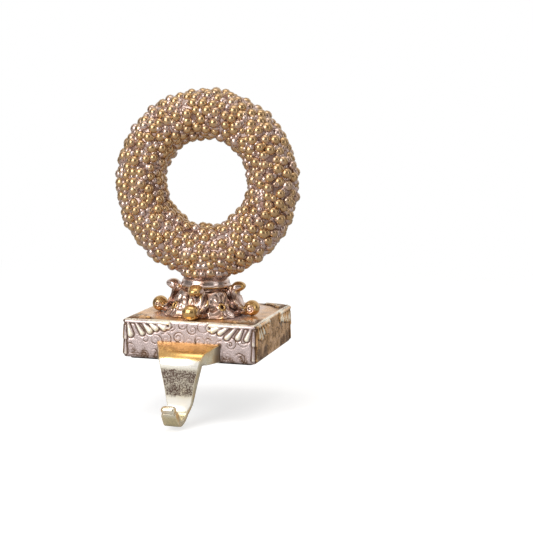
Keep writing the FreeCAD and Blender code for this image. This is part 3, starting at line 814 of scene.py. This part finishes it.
def plinthBlock(half, middle):
    # a block with rounded edges, its faces cut fine enough for the carving
    bm = bmesh.new()
    bmesh.ops.create_cube(bm, size=2.0, matrix=Matrix.Translation(middle) @ Matrix.Diagonal((*half, 1)))
    bmesh.ops.bevel(bm, geom=bm.edges[:], offset=plinth["edge"], segments=plinth["edgeSteps"],
                    profile=0.5, affect="EDGES", material=-1)
    # the underside is filled again at the end as one face, because nothing is carved there
    under = min(bm.faces, key=lambda face: face.calc_center_median().z)
    bmesh.ops.delete(bm, geom=[under], context="FACES_ONLY")
    rims = [e for e in bm.edges if e.calc_length() > 2 * plinth["height"]]
    bmesh.ops.subdivide_edges(bm, edges=rims, cuts=plinth["cutsAlong"], use_grid_fill=True)
    posts = [e for e in bm.edges if 0.5 * plinth["height"] < e.calc_length() < 2 * plinth["height"]]
    bmesh.ops.subdivide_edges(bm, edges=posts, cuts=plinth["cutsUp"], use_grid_fill=True)
    gap = [e for e in bm.edges if e.is_boundary]
    bmesh.ops.holes_fill(bm, edges=gap, sides=0)
    bmesh.ops.recalc_face_normals(bm, faces=bm.faces[:])
    return bm


def makePlinth():
    half = Vector((plinth["width"] / 2, plinth["depth"] / 2, plinth["height"] / 2))
    middle = Vector((0, 0, plinth["bottom"] + plinth["height"] / 2))
    paint = paintedFinish("plinthFinish", plinth, ("patina", "matte"))
    mesh = newPiece("carvedPlinth", plinthBlock(half, middle), paint, "plinth").data
    points = meshVectors(mesh, "co")
    inner = np.array(half) - plinth["edge"]
    local = points - np.array(middle)
    outward = local - np.clip(local, -inner, inner)
    outward /= np.maximum(np.linalg.norm(outward, axis=1), 1e-9)[:, None]
    up = points[:, 2] - plinth["bottom"]
    spots = [roughSpots(points, *row) for row in plinth["spots"]]
    total = np.zeros(len(points))
    sums = [np.zeros(len(points)) for _ in range(4)]
    faces = (
        ((0, -1, 0), local[:, 0], 1), ((1, 0, 0), local[:, 1], 2),
        ((0, 1, 0), -local[:, 0], 3), ((-1, 0, 0), -local[:, 1], 4),
    )
    for facing, along, seed in faces:
        weight = np.clip(outward @ np.array(facing, dtype=float), 0, 1) ** 2
        for k, layer in enumerate(sideRelief(along, up, seed, spots)):
            sums[k] += weight * layer
        total += weight
    weight = np.clip(outward[:, 2], 0, 1) ** 2
    for k, layer in enumerate(topRelief(local[:, 0], local[:, 1], spots)):
        sums[k] += weight * layer
    total = np.maximum(total + weight, 1e-6)
    height, raised, groove, patina = [layer / total for layer in sums]
    height *= np.clip(total, 0, 1)
    setPoints(mesh, (points + outward * height[:, None]) * mm)
    # rubbed gold along the top edge, partly a painted highlight
    topEdge = eased(*gilded["edgeStart"], outward[:, 2]) * eased(*gilded["edgeEnd"], outward[:, 2])
    post = eased(*gilded["post"], np.minimum(np.abs(outward[:, 0]), np.abs(outward[:, 1])))
    fullGold, lessOnPost = gilded["raised"]
    gilt = np.maximum(gilded["edge"] * topEdge, gilded["postGold"] * post)
    # gold on the fingers' crests, partly a painted highlight
    gilt = np.maximum((fullGold - lessOnPost * post) * raised, gilt)
    sideways = eased(*gilded["sideways"], np.abs(outward[:, 0]))
    flat = eased(*gilded["flat"], outward[:, 2])
    # ochre round the top's rim, partly a painted reflection
    shore = flat * eased(*gilded["shore"], np.abs(local[:, :2]).max(axis=1))
    cloudMiddle, cloudSwing = gilded["clouds"]
    cloudy = np.clip(cloudMiddle + cloudSwing * spots[1], 0, 1)
    ochre = sideways * partly(gilded["sideOchre"], cloudy) + shore * partly(gilded["shoreOchre"], cloudy)
    lessGold, cloudGold = gilded["sideRise"]
    rise = gilt * (1 - lessGold * sideways) + cloudGold * sideways * cloudy
    onSides, onShore, cleaned, limit = gilded["patina"]
    patina = (patina + onSides * sideways + onShore * shore) * (1 - cleaned * raised)
    setAttribute(mesh, "rise", rise)
    setAttribute(mesh, "groove", groove * (1 + gilded["sideGroove"] * sideways))
    setAttribute(mesh, "tint", ochre)
    setAttribute(mesh, "patina", np.minimum(patina, limit))
    # matte crests: part of the painted highlight
    setAttribute(mesh, "matte", gilded["matte"] * raised * (1 - sideways))


makePlinth()
print("plinth ready")


# hook: the same path of straight runs and tangent arcs as the solid
hook = {
    "root": (13.6, 48.4),
    "droop": 8.6,
    # kind, length or radius, turn in degrees, thickness and width at the end
    "legs": [
        ("run", 12.6, 0.0, 10.2, 36.6),
        ("arc", 5.5, 8.6 - 87.0, 9.9, 29.2),
        ("run", 15.5, 0.0, 8.7, 22.4),
        ("arc", 80.0, 8.0, 5.0, 19.2),
        ("arc", 14.5, 30.0, 3.5, 14.6),
        ("arc", 14.5, 44.0, 4.7, 12.6),
        ("arc", 5.2, 58.0, 5.3, 12.0),
        ("run", 7.2, 0.0, 4.6, 12.0),
        ("run", 1.4, 0.0, 4.3, 11.0),
        ("run", 1.2, 0.0, 4.2, 8.6),
    ],
    "step": 1.4,
    "corner": 0.9,
    "rollRadius": 2.9,
    "rollWidth": 11.2,
    "rollForward": 1.0,
    "rollRise": 1.7,
    "rollEdge": 2.8,
    "rollSteps": (40, 6),  # round the roll and over its edges
    "tang": (40.0, 34.0, 6.0),
    # high: the tongue's orange gold, partly a painted reflection of the warm gold above it
    "high": (0.78, 0.47, 0.17, 1),
    "base": (0.76, 0.66, 0.42, 1),
    # tinted: near white, the painted highlight on the strap's front
    "tinted": (0.97, 0.94, 0.87, 1),
    "deep": (0.1, 0.055, 0.04, 1),
    "metallic": 0.95, "gloss": 0.2, "grain": 900.0, "mottle": 0.25, "bump": 0.3,
}
# where the masks of the hook's paint begin and end, in mm along its height or depth, and what each adds
hookPaint = {
    "sideways": (0.5, 0.85),
    "front": (-0.3, 0.1),
    "tongue": (4.5, 8.5),
    "paintedHighlight": ((7.0, 4.0), (-33.0, -28.0)),
    "patinaAndDarkReflection": ((2.5, -2.0), (-24.0, -19.0)),
    "lip": (-84.0, -88.0),
    "root": (-62.0, -53.0),
    "creaseShade": (0.9, (1.3, 0.4), (-88.0, -90.0)),  # painted shade under the roll: share of the roll's radius, edges and start
    "shares": {
        "rise": {"tongue": 1.0, "lip": 0.2, "sideways": 0.42},
        # root and crease darken as painted shade
        "groove": {"root": 0.7, "creaseShade": 0.3},
        # the dark mottled patina between the bends also paints in a dark reflection
        "patina": {"patinaAndDarkReflection": 0.72, "lip": 0.15, "sideways": 0.05},
    },
    "tint": (0.5, 0.5, 0.2),  # lost on the lip, lost in the dark patina and painted reflection, and sideways
    "matte": (0.55, 0.3, (-14.0, -24.0), 0.6),  # all over, low down, from where to where, sideways; the matte keeps the painted highlight white
}


def hookStations():
    point = Vector((0, -plinth["depth"] / 2, plinth["bottom"] + hook["root"][0] / 2))
    thickness, width = hook["root"]
    stations = [(point.copy(), 0.0, thickness, width)]
    heading = -math.radians(hook["droop"])
    for kind, length, turn, endThickness, endWidth in hook["legs"]:
        run = length if kind == "run" else length * abs(math.radians(turn))
        pieces = max(1, round(run / hook["step"]))
        for k in range(pieces):
            if kind == "run":
                point = point + Vector((0, -math.cos(heading), math.sin(heading))) * (length / pieces)
            else:
                step = math.radians(turn) / pieces
                middle = heading + step / 2
                chord = 2 * length * math.sin(abs(step) / 2)
                point = point + Vector((0, -math.cos(middle), math.sin(middle))) * chord
                heading += step
            share = (k + 1) / pieces
            stations.append((point.copy(), heading, thickness + (endThickness - thickness) * share,
                             width + (endWidth - width) * share))
        thickness, width = endThickness, endWidth
    return stations


def sectionLoop(bm, point, heading, thickness, width):
    # a rectangle with rounded corners, as a closed loop of edges
    across = Vector((1, 0, 0))
    out = Vector((0, math.sin(heading), math.cos(heading)))
    corner = min(hook["corner"], 0.3 * thickness)
    verts = []
    for side, face in ((1, 1), (-1, 1), (-1, -1), (1, -1)):
        for k in range(3):
            angle = math.radians(45 * k)
            lean = math.cos(angle), math.sin(angle)
            if side * face < 0:
                lean = lean[::-1]
            x = side * (width / 2 - corner + corner * lean[0])
            y = face * (thickness / 2 - corner + corner * lean[1])
            verts.append(bm.verts.new((point + across * x + out * y) * mm))
    return [bm.edges.new((verts[k], verts[(k + 1) % len(verts)])) for k in range(len(verts))]


def makeHook():
    bm = bmesh.new()
    stations = hookStations()
    loops = [sectionLoop(bm, *station) for station in stations]
    for k in range(len(loops) - 1):
        bmesh.ops.bridge_loops(bm, edges=loops[k] + loops[k + 1])
    for ends in (loops[0], loops[-1]):
        bmesh.ops.holes_fill(bm, edges=ends, sides=0)
    tip, width = stations[-1][0], hook["rollWidth"]
    tip = (tip + Vector((0, -hook["rollForward"], hook["rollRise"]))) * mm
    roundSteps, edgeSteps = hook["rollSteps"]
    roll = bmesh.ops.create_cone(bm, cap_ends=True, segments=roundSteps, radius1=hook["rollRadius"] * mm,
                                 radius2=hook["rollRadius"] * mm, depth=width * mm,
                                 matrix=Matrix.Translation(tip) @ Matrix.Rotation(math.pi / 2, 4, "Y"))
    edges = dict.fromkeys(e for v in roll["verts"] for e in v.link_edges)
    rims = [e for e in edges if len({round(v.co.x, 6) for v in e.verts}) == 1]
    bmesh.ops.bevel(bm, geom=rims, offset=hook["rollEdge"] * mm, segments=edgeSteps, profile=0.5,
                    affect="EDGES", material=-1)
    wide, deep, thick = hook["tang"]
    tangMiddle = Vector((0, -plinth["depth"] / 2 + deep / 2, plinth["bottom"] + thick / 2)) * mm
    bmesh.ops.create_cube(bm, size=1.0, matrix=Matrix.Translation(tangMiddle)
                          @ Matrix.Diagonal((wide * mm, deep * mm, thick * mm, 1)))
    bmesh.ops.recalc_face_normals(bm, faces=bm.faces[:])
    paint = paintedFinish("hookFinish", hook, ("patina", "matte"))
    paintHook(newPiece("castHook", bm, paint, "hook").data, tip.z / mm)


def paintHook(mesh, rollLevel):
    # orange gold on the tongue, partly a painted reflection of the warm gold above it; the strap's front
    # near white as a painted highlight, with dark mottled patina between its two bends that also paints in
    # a dark reflection; painted shade under the roll and where the sides meet the plinth
    points, normals = meshVectors(mesh, "co") / mm, meshVectors(mesh, "normal")
    depth, level = points[:, 1], points[:, 2]
    sideways = eased(*hookPaint["sideways"], np.abs(normals[:, 0]))
    front = (1 - sideways) * eased(*hookPaint["front"], -normals[:, 1])
    # the tongue's orange gold is partly a painted reflection
    tongue = eased(*hookPaint["tongue"], level) * (1 - sideways)
    paintedHighlight, patinaAndDarkReflection = (
        eased(*above, level) * eased(*below, level) * front
        for above, below in (hookPaint["paintedHighlight"], hookPaint["patinaAndDarkReflection"])
    )
    lip = eased(*hookPaint["lip"], depth)
    # painted shade: the sides darken where they meet the plinth
    root = eased(*hookPaint["root"], depth) * sideways
    share, edges, start = hookPaint["creaseShade"]
    creaseShade = np.abs(level - (rollLevel - share * hook["rollRadius"]))
    creaseShade = eased(*edges, creaseShade) * eased(*start, depth)
    lostOnLip, lostInMottling, onSides = hookPaint["tint"]
    # the strap's front is tinted near white and made matte: a painted highlight
    tint = paintedHighlight * (1 - lostOnLip * lip) * (1 - lostInMottling * patinaAndDarkReflection)
    setAttribute(mesh, "tint", np.maximum(tint, onSides * sideways))
    allOver, lowDown, lowEdges, onSides = hookPaint["matte"]
    matte = (allOver + lowDown * eased(*lowEdges, level)) * paintedHighlight * (1 - lip)
    setAttribute(mesh, "matte", np.maximum(matte, onSides * sideways))
    paintMesh(mesh, hookPaint["shares"], {
        "tongue": tongue, "lip": lip, "sideways": sideways,
        "root": root, "creaseShade": creaseShade, "patinaAndDarkReflection": patinaAndDarkReflection,
    })


makeHook()
print("hook ready")


# pedestal: the casting's own form, gone over with veins and folds
pedestal = {
    "axis": (0.0, -10.2),
    "foot": 30.1,
    "arms": 4,
    "footRoll": (36.2, 5.9, 5.9),  # reach, height, radius
    "topRoll": (25.4, 20.9, 4.7),
    "rollHalfWidth": 6.5,
    "rollMargin": 0.8,
    "barrel": 0.42,
    "taper": 0.24,
    "tipMargin": 2.5,
    "tipRun": (-4.0, 5.0),  # where the leaf tips start and end, from the middle of the upper rolls
    "tipFlat": 1.2,
    "tipReach": 4.5,
    "tipDrop": 5.0,  # the front tip hangs, the others lift
    "tipLift": 5.0,
    "tenonTop": (0.2, -0.2),
    "drum": 20.2,
    "drumSide": (20.6, 19.8),
    "drumBelly": (23.9, 3.7, 1.5),  # middle, half height, how much slimmer the ends are
    "bellyReach": (13.0, 16.0),
    "bandHeight": 25.2,
    "eyelet": (25.9, 8.2, 1.5),  # reach, height, radius of the hole
    "holeStart": (5.0, 3.0),  # how far inside its reach an eyelet starts
    "holeSquash": 1.05,
    "holeDepth": 1.0,
    "holeRing": (2.2, 1.2),
    "veinDepth": 0.65,
    "veins": (13.0, 1.5, 0.15),  # how many, how far they wander, and their slant
    "veinRoot": (0.6, 1.0),
    "calm": (0.0, 2.5),
    "ribs": (9.0, 2.0),  # ribs that radiate from each eyelet, and how far they wander
    "ribEdges": ((2.8, 5.0), (11.0, 7.0), (14.0, 18.0)),  # inner, outer and how far out
    "ribDepth": 0.4,
    "wander": 0.14,
    "coils": 1.8,  # turns of the coil on the ends of the foot rolls
    "coilDepth": 0.5,
    "coilEdges": ((0.24, 0.08), (3.6, 5.0)),
    "voxel": 0.47,
    "softening": 5,
    "high": (0.6, 0.37, 0.145, 1),
    "base": (0.44, 0.275, 0.2, 1),
    # tinted: the mauve of the roll ends, and the painted highlight on the veins' crests
    "tinted": (0.78, 0.62, 0.56, 1),
    "deep": (0.09, 0.04, 0.025, 1),
    "metallic": 0.88, "gloss": 0.13, "grain": 900.0, "mottle": 0.25, "bump": 0.3,
}
# where the masks of the pedestal's paint begin and end, and how much of each attribute they add
pedestalPaint = {
    "passes": 10,
    "facing": (0.3, 0.9),
    "ends": (5.0, 6.2),
    "rim": (0.8, (1.8, 0.5), (21.0, 18.5)),  # height over the drum's foot, its edges and its reach
    "band": (1.1, 0.4),
    # painted shade: less gold low on the foot rolls
    "under": (3.0, 0.5),
    "proudGilt": (1.8, -0.4, 0.5),
    "deepShade": (-0.05, -2.0),
    "shares": {
        "rise": {"footRoll": 0.95, "topRoll": 0.3, "topFront": 0.55, "ends": -0.75, "ring": 0.75,
                 "proud": 1.0, "crestHighlight": 0.15, "rim": 0.5, "under": -0.3},
        "groove": {"sunk": 1.0, "furrow": 0.45, "hole": 1.0, "band": 0.4, "coil": 0.45},
        # the pale tint on the veins' crests is a painted highlight
        "tint": {"all": 0.35, "wander": 1.2, "crestHighlight": 0.65, "drum": 0.25, "ends": 0.6},
    },
}


def rollMask(along, side, up, roll, margin):
    reach, height, radius = roll
    away = np.hypot(along - reach, up - height)
    return eased(radius + margin, radius, away) * eased(pedestal["rollHalfWidth"] + margin,
                                                        pedestal["rollHalfWidth"], np.abs(side))


def remeshed(piece, voxel):
    # the piece's solid as one even mesh
    even = piece.modifiers.new("even", "REMESH")
    even.mode = "VOXEL"
    even.voxel_size = voxel * mm
    even.use_smooth_shade = True
    reader = bpy.context.evaluated_depsgraph_get()
    made = bpy.data.meshes.new_from_object(piece.evaluated_get(reader), depsgraph=reader)
    piece.modifiers.clear()
    paint = piece.data.materials[0]
    piece.data = made
    if not made.materials:
        made.materials.append(paint)
    return made


def makePedestal():
    bm = bmesh.new()
    bm.from_mesh(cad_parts["scroll_pedestal"].data)
    bmesh.ops.remove_doubles(bm, verts=bm.verts[:], dist=1e-6)
    paint = paintedFinish("pedestalFinish", pedestal)
    piece = newPiece("scrolledPedestal", bm, paint, "scroll_pedestal")
    mesh = remeshed(piece, pedestal["voxel"])
    setPoints(mesh, neighbourMean(mesh, meshVectors(mesh, "co"), pedestal["softening"]))
    points, normals = meshVectors(mesh, "co") / mm, meshVectors(mesh, "normal")
    x, y = points[:, 0] - pedestal["axis"][0], points[:, 1] - pedestal["axis"][1]
    up = points[:, 2] - pedestal["foot"]
    reach = np.hypot(x, y)
    pitch = math.tau / pedestal["arms"]
    turn = np.arctan2(y, x)
    # angles from the nearest arm, and from the middle between two arms
    offArm = (turn + pitch / 2) % pitch - pitch / 2
    offDrape = turn % pitch - pitch / 2
    along, side = reach * np.cos(offArm), reach * np.sin(offArm)
    margin = pedestal["rollMargin"]
    footRoll = rollMask(along, side, up, pedestal["footRoll"], margin)
    topRoll = rollMask(along, side, up, pedestal["topRoll"], margin)
    rolls = np.maximum(footRoll, topRoll)
    drum = eased(pedestal["drum"] - margin, pedestal["drum"], up) * eased(*pedestal["drumSide"], reach)
    tenon = eased(*pedestal["tenonTop"], up)
    body = (1 - rolls) * (1 - drum) * (1 - tenon)
    # veins fan out from under each foot roll
    veinSide, veinUp = pedestal["veinRoot"]
    fan = np.arctan2(up - veinUp, np.abs(side) + veinSide)
    wander = np.array([noise.noise(Vector(p) * pedestal["wander"]) for p in points])
    veins, stray, slant = pedestal["veins"]
    vein = np.sin(veins * fan + stray * wander + slant * reach)
    holeReach, holeUp, holeRadius = pedestal["eyelet"]
    holeSide = holeReach * np.sin(offDrape)
    holeAway = np.hypot(holeSide, (up - holeUp) * pedestal["holeSquash"])
    holeStart, holeFull = pedestal["holeStart"]
    outer = eased(holeReach - holeStart, holeReach - holeFull, reach)
    innerEdge, outerEdge, reachEdge = pedestal["ribEdges"]
    ribbed = eased(*innerEdge, holeAway) * eased(*outerEdge, holeAway) * eased(*reachEdge, reach)
    ribs, stray = pedestal["ribs"]
    rib = np.sin(ribs * np.arctan2(up - holeUp, holeSide) + stray * wander)
    vein = vein * (1 - ribbed) + rib * ribbed * pedestal["ribDepth"] / pedestal["veinDepth"]
    # the eyelet is a 1 mm dent; the dark painted in it is painted shade of a deeper hole
    hole = eased(holeRadius, 0.5 * holeRadius, holeAway) * outer
    ringEnd, ringFull = pedestal["holeRing"]
    ring = eased(holeRadius + ringEnd, holeRadius + ringFull, holeAway) * outer * (1 - hole)
    calm = eased(*pedestal["calm"], up) * (1 - ring) * (1 - hole)
    coilReach, coilUp, coilRadius = pedestal["footRoll"]
    coilAway = np.hypot(along - coilReach, up - coilUp) / coilRadius
    coilTurn = np.arctan2(up - coilUp, (along - coilReach) * np.sign(side)) / math.tau
    coil = np.abs((pedestal["coils"] * coilAway - coilTurn) % 1.0 - 0.5)
    lineEdge, sideEdge = pedestal["coilEdges"]
    coil = eased(*lineEdge, coil) * eased(*sideEdge, np.abs(side)) * footRoll
    shift = pedestal["veinDepth"] * vein * body * calm - pedestal["holeDepth"] * hole * body
    shift -= pedestal["coilDepth"] * coil
    points += normals * shift[:, None]
    # the rolls bulge like snail shells, and the upper ones narrow to a leaf's tip
    outwards = np.stack([np.cos(turn - offArm), np.sin(turn - offArm)], axis=1)
    for mask, (rollReach, rollUp, _) in ((footRoll, pedestal["footRoll"]), (topRoll, pedestal["topRoll"])):
        inwards = pedestal["barrel"] * mask * np.clip(np.abs(side) / pedestal["rollHalfWidth"], 0, 1) ** 2
        points[:, :2] -= outwards * ((along - rollReach) * inwards)[:, None]
        points[:, 2] -= (up - rollUp) * inwards
    topReach, topUp, _ = pedestal["topRoll"]
    tipStart, tipEnd = (topReach + run for run in pedestal["tipRun"])
    narrow = rollMask(along, side, up, pedestal["topRoll"], pedestal["tipMargin"])
    narrow *= eased(tipStart, tipEnd, along) * pedestal["taper"]
    facing = eased(*pedestalPaint["facing"], -np.sin(turn - offArm))
    drop = pedestal["tipDrop"] * facing - pedestal["tipLift"] * (1 - facing)
    points[:, 0] += outwards[:, 1] * side * narrow
    points[:, 1] -= outwards[:, 0] * side * narrow
    points[:, :2] += outwards * (pedestal["tipReach"] * narrow)[:, None]
    points[:, 2] -= (pedestal["tipFlat"] * (up - topUp) + drop) * narrow
    # the drum is a rounded ring
    bellyUp, bellyHalf, bellySlim = pedestal["drumBelly"]
    level = (up - bellyUp) / bellyHalf
    slim = drum * eased(*pedestal["bellyReach"], reach) * np.clip(level ** 2, 0, 1) * bellySlim
    points[:, 0] -= x / np.maximum(reach, 1) * slim
    points[:, 1] -= y / np.maximum(reach, 1) * slim
    setPoints(mesh, points * mm)
    # how far each point stands out of its smoothed surroundings
    points, normals = meshVectors(mesh, "co"), meshVectors(mesh, "normal")
    proud = ((points - neighbourMean(mesh, points, pedestalPaint["passes"])) * normals).sum(axis=1) / mm
    ends = eased(*pedestalPaint["ends"], np.abs(side)) * rolls
    sunny = eased(*pedestalPaint["facing"], np.cos(turn - offArm))
    rimUp, rimEdge, rimReach = pedestalPaint["rim"]
    rim = eased(*rimEdge, np.abs(up - pedestal["drum"] - rimUp)) * eased(*rimReach, reach)
    swing, lowest, highest = pedestalPaint["proudGilt"]
    shade, shadeSwing = pedestalPaint["deepShade"]
    paintMesh(mesh, pedestalPaint["shares"], {
        "all": 1.0, "wander": wander, "footRoll": footRoll, "topRoll": topRoll, "ends": ends, "rim": rim,
        "drum": drum, "coil": coil, "hole": hole * body, "ring": ring * body,
        "topFront": np.maximum(facing, sunny) * topRoll,
        # painted shade under the foot rolls
        "under": footRoll * eased(*pedestalPaint["under"], up),
        "band": drum * eased(*pedestalPaint["band"], np.abs(up - pedestal["bandHeight"])),
        # the veins' crests: painted highlight
        "crestHighlight": np.clip(vein, 0, 1) * body * calm,
        "furrow": np.clip(-vein, 0, 1) * body * calm,
        "proud": np.clip(swing * proud, lowest, highest),
        "sunk": np.clip(shade + shadeSwing * proud, 0, 1),
    })


makePedestal()
print("pedestal ready")


# felt pad and screws keep their solids
felt = {
    "color": (0.035, 0.025, 0.022, 1),
    "dark": (0.021, 0.015, 0.0132, 1),
    "metallic": 0.0, "roughness": 0.9, "roughSwing": 0.2,
    "grain": (2500.0, 4.0, 0.6),
    "bump": 0.8,
}
screwSteel = {
    "color": (0.6, 0.6, 0.58, 1),
    "dark": (0.36, 0.36, 0.348, 1),
    "metallic": 1.0, "roughness": 0.3, "roughSwing": 0.2,
    "grain": (400.0, 4.0, 0.6),
    "bump": 0.1,
}


def repaint(nodeName, paint):
    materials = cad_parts[nodeName].data.materials
    materials.clear()
    materials.append(paint)


repaint("felt_pad", plainFinish("felt", felt))
repaint("hook_screws", plainFinish("screwSteel", screwSteel))
print("pad and screws ready")
